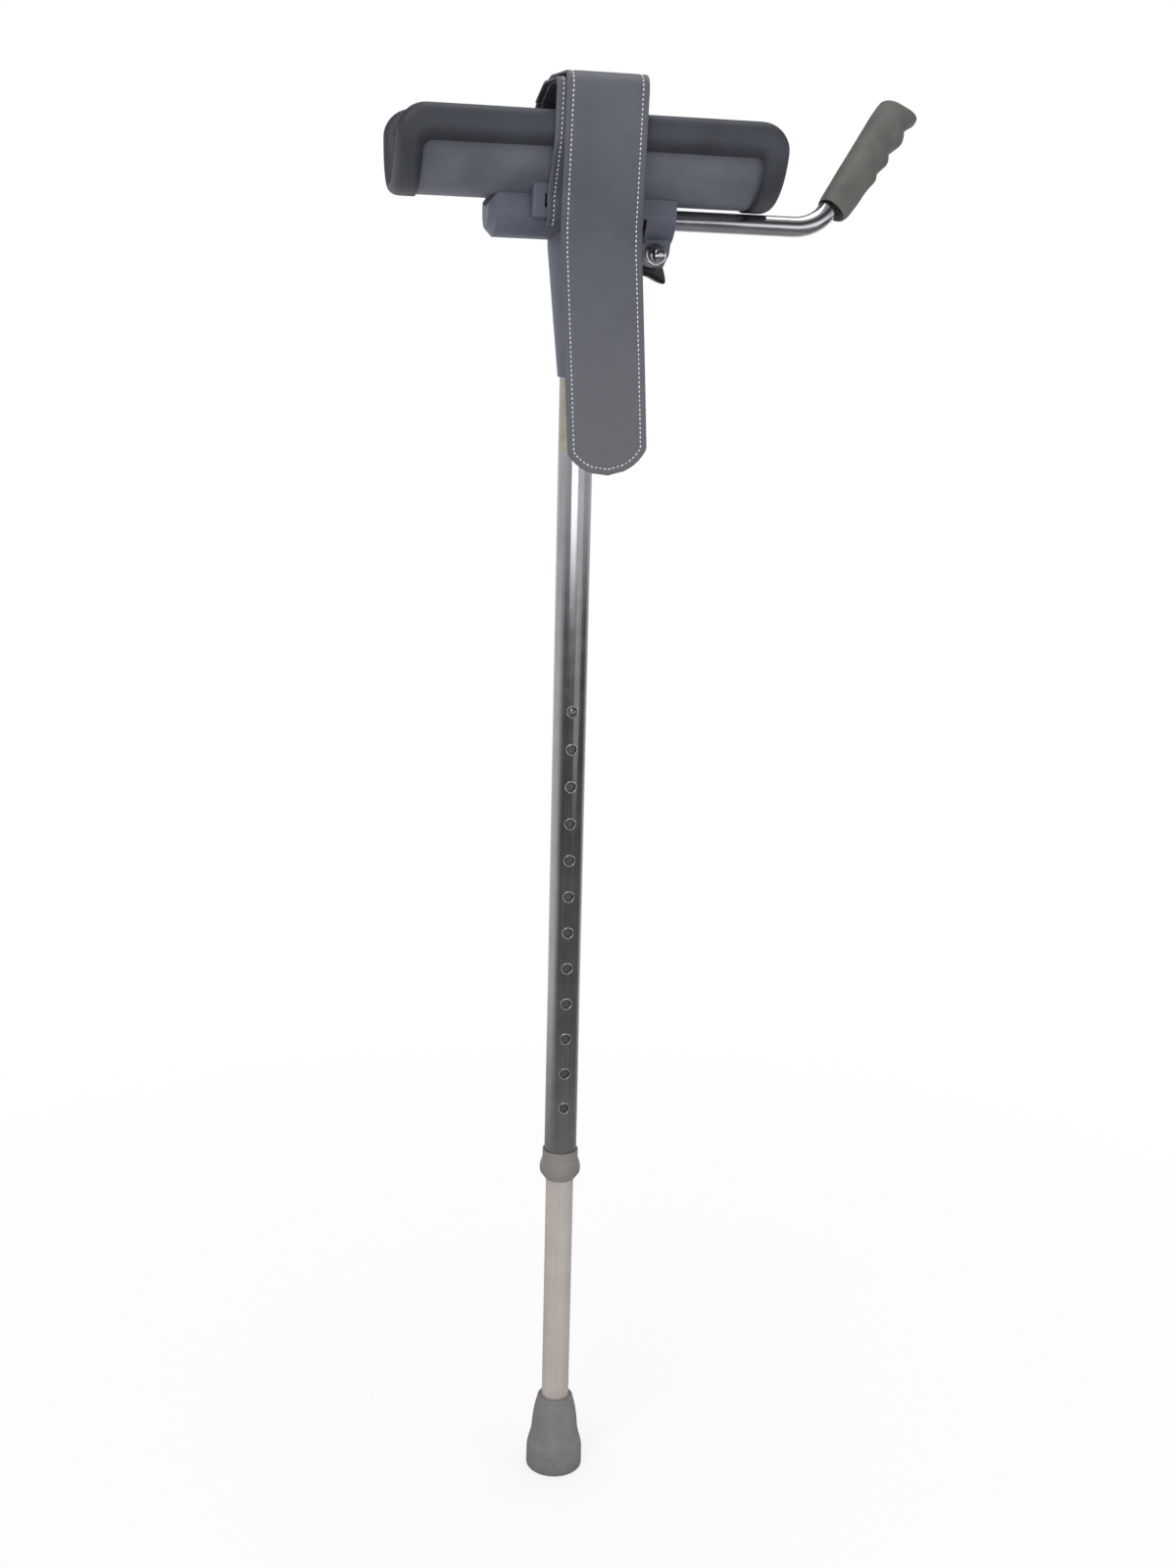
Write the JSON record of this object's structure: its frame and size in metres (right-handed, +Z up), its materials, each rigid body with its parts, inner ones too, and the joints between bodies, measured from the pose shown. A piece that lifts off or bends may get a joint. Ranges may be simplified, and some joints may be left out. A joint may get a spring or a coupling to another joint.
{
  "type": "platform crutch",
  "caption": "Forearm crutch with a padded gutter on a telescopic shaft, a sliding and turning clamped hand grip, wrap straps and a rubber ferrule",
  "frame": {"origin": "middle of the padded floor of the forearm gutter", "axes": "+Z up along the shaft, +X towards the hand grip, -Y the side with the adjusting holes and the hanging strap end"},
  "size_m": [0.3452, 0.1042, 0.9576],
  "materials": {
    "anodised_aluminium": "bright anodised drawn tube",
    "chrome_plated_steel": "bright chrome plating",
    "zinc_plated_steel": "zinc plated",
    "spring_steel": "rolled strip",
    "grey_nylon": "injection moulded, fine texture",
    "grey_polypropylene": "injection moulded",
    "black_plastic": "injection moulded, satin",
    "shell_plastic": "vacuum formed sheet, fine texture",
    "foam_trim": "integral skin foam",
    "foam_lining": "foam faced with knitted fabric",
    "strap_vinyl": "coated fabric, light grain",
    "hook_and_loop": "woven tape",
    "grey_rubber": "moulded rubber",
    "grip_rubber": "moulded soft plastic"
  },
  "bodies": {
    "head": {"outer_tube": "anodised_aluminium", "collar_bush": "grey_polypropylene", "head_moulding": "grey_nylon", "barrel_end_cap": "grey_nylon", "socket_rivet": "zinc_plated_steel", "gutter_shell": "shell_plastic", "gutter_lining": "foam_lining", "edge_roll": "foam_trim", "gutter_screws": "zinc_plated_steel", "clamp_washers": "zinc_plated_steel", "dome_nut": "chrome_plated_steel", "long_strap": "strap_vinyl", "short_strap": "strap_vinyl", "hook_tape": "hook_and_loop", "loop_tape": "hook_and_loop"},
    "lower_shaft": {"inner_tube": "anodised_aluminium", "inner_tube_guide": "grey_polypropylene", "ferrule": "grey_rubber", "ferrule_washer": "zinc_plated_steel"},
    "snap_button": {"button_spring_clip": "spring_steel"},
    "rod_slider": {"rod_end_plug": "grey_polypropylene"},
    "handle": {"handle_rod": "chrome_plated_steel", "hand_grip": "grip_rubber"},
    "clamp_screw": {"clamp_knob": "black_plastic", "clamp_stud": "zinc_plated_steel"}
  },
  "joints": [
    {"name": "height_slide", "type": "slide", "parent": "head", "child": "lower_shaft", "axis": [0, 0, -1], "range_m": [0, 0.2794]},
    {"name": "button_press", "type": "slide", "parent": "lower_shaft", "child": "snap_button", "axis": [0, 1, 0], "range_m": [0, 0.0035], "stiffness_N_per_m": 1500, "springref_m": -0.002, "deforming": ["button_spring_clip"]},
    {"name": "handle_slide", "type": "slide", "parent": "head", "child": "rod_slider", "axis": [0.9997, 0, -0.0262], "range_m": [0, 0.06]},
    {"name": "handle_turn", "type": "hinge", "parent": "rod_slider", "child": "handle", "pos_m": [0, 0, -0.01731], "axis": [0.9997, 0, -0.0262], "continuous": true},
    {"name": "knob_turn", "type": "hinge", "parent": "head", "child": "clamp_screw", "pos_m": [0.04603, 0, -0.03952], "axis": [0, 1, 0], "range_deg": [0, 360]}
  ]
}
